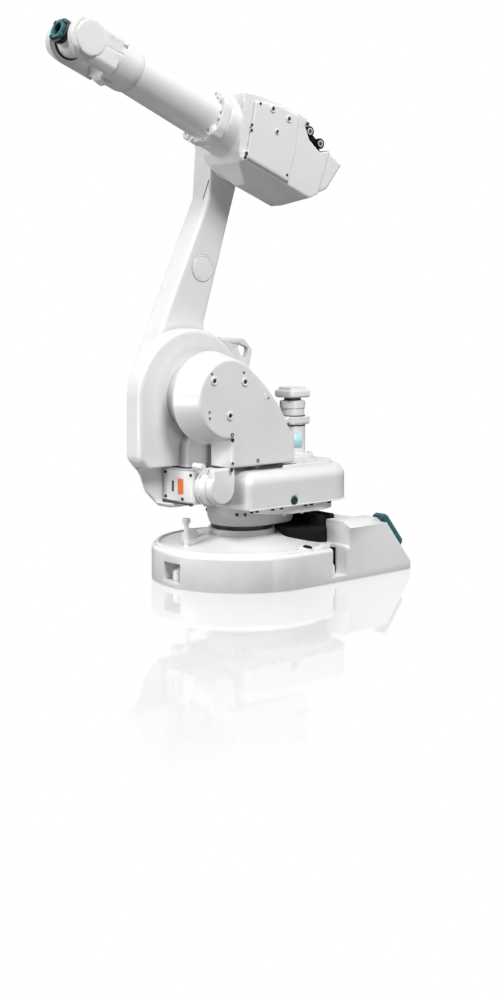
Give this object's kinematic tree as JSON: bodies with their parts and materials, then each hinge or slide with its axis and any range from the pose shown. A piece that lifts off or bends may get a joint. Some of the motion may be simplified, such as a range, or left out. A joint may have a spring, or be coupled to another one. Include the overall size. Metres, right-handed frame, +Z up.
{
  "type": "industrial robot arm",
  "caption": "Floor-mounted jointed robot arm with a D-shaped base, a turning body, a lower arm, a tapered forearm and a tilting wrist with a tool flange.",
  "frame": {"origin": "on the floor, on the vertical turning axis, in the underside of the base", "axes": "+X towards the front of the robot, +Y to its left side, +Z up"},
  "size_m": [1.0097, 0.484, 1.4308],
  "materials": {
    "white_paint": "satin",
    "machined_steel": "machined",
    "teal_plastic": "satin",
    "dark_plastic": "satin",
    "black_rubber": "matt",
    "brass_fitting": "machined",
    "plain_plate": "satin"
  },
  "bodies": {
    "base": {"base_casting": "white_paint", "base_ring": "machined_steel", "stop_pin": "white_paint", "stop_block": "white_paint", "base_plug": "black_rubber", "connector_panel": "plain_plate", "power_connector": "dark_plastic", "signal_connector": "dark_plastic", "air_connector": "brass_fitting", "left_guard": "teal_plastic", "right_guard": "teal_plastic"},
    "turret": {"turning_ring": "machined_steel", "turret_flange": "white_paint", "turret_casting": "white_paint", "turret_lid": "white_paint", "rubber_plug": "black_rubber", "upright": "white_paint", "lifting_lug": "white_paint", "gear_housing": "white_paint", "side_cover": "white_paint", "shoulder_motor": "white_paint", "shoulder_motor_cap": "white_paint", "motor_plate": "plain_plate", "motor_mount": "white_paint", "turning_motor": "white_paint", "turning_motor_cap": "white_paint"},
    "lower_arm": {"lower_arm_casting": "white_paint", "arm_plug": "white_paint", "shoulder_cap": "white_paint", "elbow_cap": "white_paint"},
    "upper_arm": {"arm_housing": "white_paint", "elbow_hub": "white_paint", "housing_side_cover": "white_paint", "housing_rear_cover": "white_paint", "front_motor_socket": "dark_plastic", "rear_motor_socket": "dark_plastic"},
    "forearm": {"forearm_flange": "white_paint", "forearm_tube": "white_paint", "wrist_housing": "white_paint", "left_wrist_cover": "white_paint", "right_wrist_cover": "white_paint"},
    "wrist": {"tilting_head": "white_paint", "wrist_seal": "black_rubber"},
    "flange": {"tool_flange": "machined_steel", "flange_plate": "teal_plastic"}
  },
  "joints": [
    {"name": "axis_1_turn", "type": "hinge", "parent": "base", "child": "turret", "pos_m": [0, 0, 0.2], "axis": [0, 0, 1], "range_deg": [-180, 180]},
    {"name": "axis_2_lower_arm", "type": "hinge", "parent": "turret", "child": "lower_arm", "pos_m": [0.15, 0, 0.4865], "axis": [0, 1, 0], "range_deg": [-75.29, 164.71]},
    {"name": "axis_3_upper_arm", "type": "hinge", "parent": "lower_arm", "child": "upper_arm", "pos_m": [-0.02775, 0, 1.16356], "axis": [0, -1, 0], "range_deg": [-70.8, 239.2]},
    {"name": "axis_4_forearm", "type": "hinge", "parent": "upper_arm", "child": "forearm", "pos_m": [0.10338, 0, 1.21261], "axis": [0.9366, 0, 0.3504], "range_deg": [-200, 200]},
    {"name": "axis_5_wrist", "type": "hinge", "parent": "forearm", "child": "wrist", "pos_m": [0.53422, 0, 1.37378], "axis": [0, 1, 0], "range_deg": [-115, 115]},
    {"name": "axis_6_flange", "type": "hinge", "parent": "wrist", "child": "flange", "pos_m": [0.57665, 0, 1.38965], "axis": [0.9366, 0, 0.3504], "range_deg": [-400, 400]}
  ]
}
